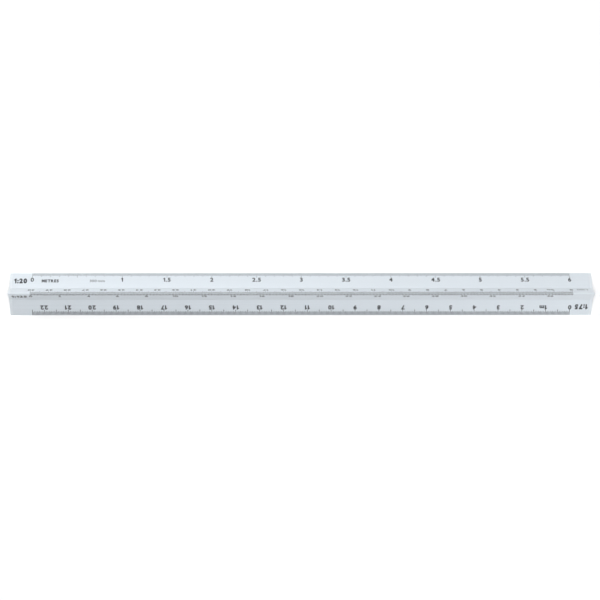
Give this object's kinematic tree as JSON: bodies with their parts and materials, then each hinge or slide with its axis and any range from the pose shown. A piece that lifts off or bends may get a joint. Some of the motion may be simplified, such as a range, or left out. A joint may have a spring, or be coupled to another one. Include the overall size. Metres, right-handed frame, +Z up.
{
  "type": "triangular scale ruler",
  "caption": "Three-edged white plastic drafting ruler with shallow V sides, sharp scale edges and a plug cap closing each end of its hollow bar.",
  "frame": {"origin": "on the surface the ruler rests on, under the middle of the bar", "axes": "+X along the bar to the right end in the picture's view, +Z up from the resting side to the ridge, +Y across"},
  "size_m": [0.3248, 0.0234, 0.0204],
  "materials": {
    "bar_plastic": "satin",
    "cap_plastic": "satin",
    "scale_ink": "matte"
  },
  "bodies": {
    "root": {"ruler_body": "bar_plastic", "end_cap_left": "cap_plastic", "end_cap_right": "cap_plastic"}
  },
  "joints": []
}
